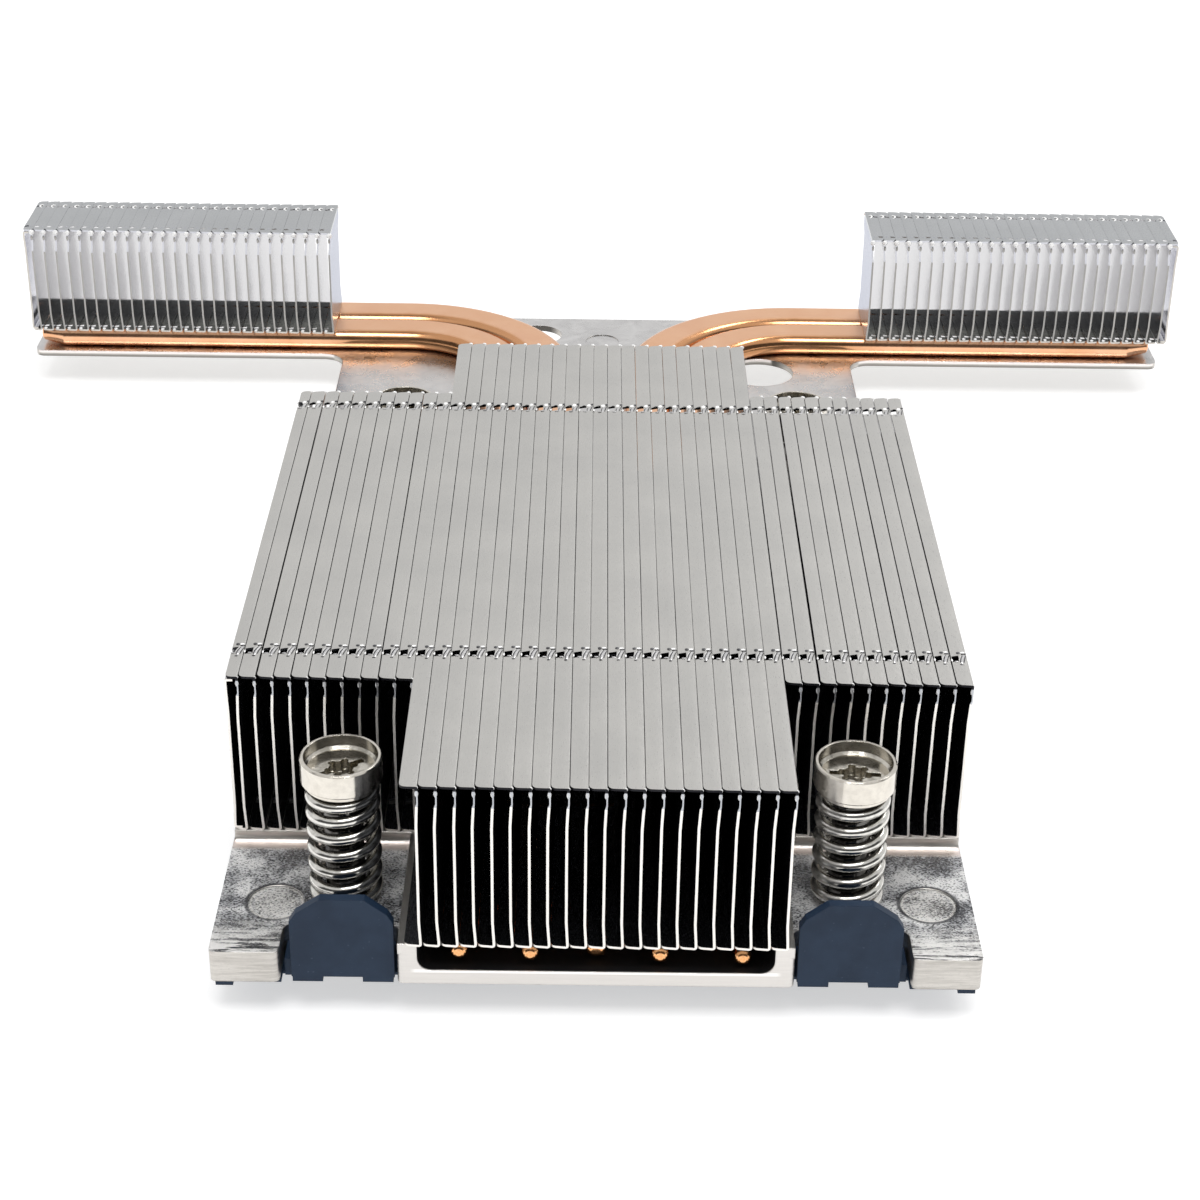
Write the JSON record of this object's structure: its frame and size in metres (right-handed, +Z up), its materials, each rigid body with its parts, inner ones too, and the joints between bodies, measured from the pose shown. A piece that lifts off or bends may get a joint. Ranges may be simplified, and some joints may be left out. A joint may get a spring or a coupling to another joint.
{
  "type": "passive server cpu heatsink",
  "caption": "Low passive heatsink for a rack server processor: folded fin stack on a cast base, with flat heat pipes that run back to two small fin wings, and spring-loaded captive screws.",
  "frame": {"origin": "centre of the processor contact face under the base, midway between the four screws", "axes": "+Y runs back along the fins to the two fin wings, +X to the right as seen from the end without wings, +Z up from the contact face"},
  "size_m": [0.1914, 0.1857, 0.0305],
  "materials": {
    "cast_nickel": "nickel-plated die casting, grainy as cast with milled edges",
    "carrier_plastic": "fine matt moulding, dark blue-grey",
    "copper": "drawn copper tube, satin with a soft gloss",
    "fin_sheet": "thin folded sheet, nickel-plated, satin",
    "screw_nickel": "turned and nickel-plated, bright",
    "spring_wire": "bright plated spring wire",
    "ring_steel": "stamped spring steel, dull"
  },
  "bodies": {
    "root": {"base_casting": "cast_nickel", "carrier_frame": "carrier_plastic", "heat_pipe_centre": "copper", "heat_pipe_left_inner": "copper", "heat_pipe_left_outer": "copper", "heat_pipe_right_inner": "copper", "heat_pipe_right_outer": "copper", "end_fin": "fin_sheet", "side_fins_left": "fin_sheet", "centre_fins": "fin_sheet", "side_fins_right": "fin_sheet", "wing_fins_left": "fin_sheet", "wing_fins_right": "fin_sheet", "wing_end_fin_left": "fin_sheet", "wing_end_fin_right": "fin_sheet", "spring_front_left": "spring_wire", "spring_front_right": "spring_wire", "spring_rear_left": "spring_wire", "spring_rear_right": "spring_wire"},
    "ring_front_left": {"retaining_ring_front_left": "ring_steel"},
    "screw_front_left": {"captive_screw_front_left": "screw_nickel"},
    "ring_front_right": {"retaining_ring_front_right": "ring_steel"},
    "screw_front_right": {"captive_screw_front_right": "screw_nickel"},
    "ring_rear_left": {"retaining_ring_rear_left": "ring_steel"},
    "screw_rear_left": {"captive_screw_rear_left": "screw_nickel"},
    "ring_rear_right": {"retaining_ring_rear_right": "ring_steel"},
    "screw_rear_right": {"captive_screw_rear_right": "screw_nickel"}
  },
  "joints": [
    {"name": "press_front_left", "type": "slide", "parent": "root", "child": "ring_front_left", "axis": [0, 0, -1], "range_m": [0, 0.004], "stiffness_N_per_m": 20000, "deforming": ["spring_front_left"]},
    {"name": "turn_front_left", "type": "hinge", "parent": "ring_front_left", "child": "screw_front_left", "pos_m": [-0.028, -0.047, 0], "axis": [0, 0, 1], "continuous": true},
    {"name": "press_front_right", "type": "slide", "parent": "root", "child": "ring_front_right", "axis": [0, 0, -1], "range_m": [0, 0.004], "stiffness_N_per_m": 20000, "deforming": ["spring_front_right"]},
    {"name": "turn_front_right", "type": "hinge", "parent": "ring_front_right", "child": "screw_front_right", "pos_m": [0.028, -0.047, 0], "axis": [0, 0, 1], "continuous": true},
    {"name": "press_rear_left", "type": "slide", "parent": "root", "child": "ring_rear_left", "axis": [0, 0, -1], "range_m": [0, 0.004], "stiffness_N_per_m": 20000, "deforming": ["spring_rear_left"]},
    {"name": "turn_rear_left", "type": "hinge", "parent": "ring_rear_left", "child": "screw_rear_left", "pos_m": [-0.028, 0.047, 0], "axis": [0, 0, 1], "continuous": true},
    {"name": "press_rear_right", "type": "slide", "parent": "root", "child": "ring_rear_right", "axis": [0, 0, -1], "range_m": [0, 0.004], "stiffness_N_per_m": 20000, "deforming": ["spring_rear_right"]},
    {"name": "turn_rear_right", "type": "hinge", "parent": "ring_rear_right", "child": "screw_rear_right", "pos_m": [0.028, 0.047, 0], "axis": [0, 0, 1], "continuous": true}
  ]
}
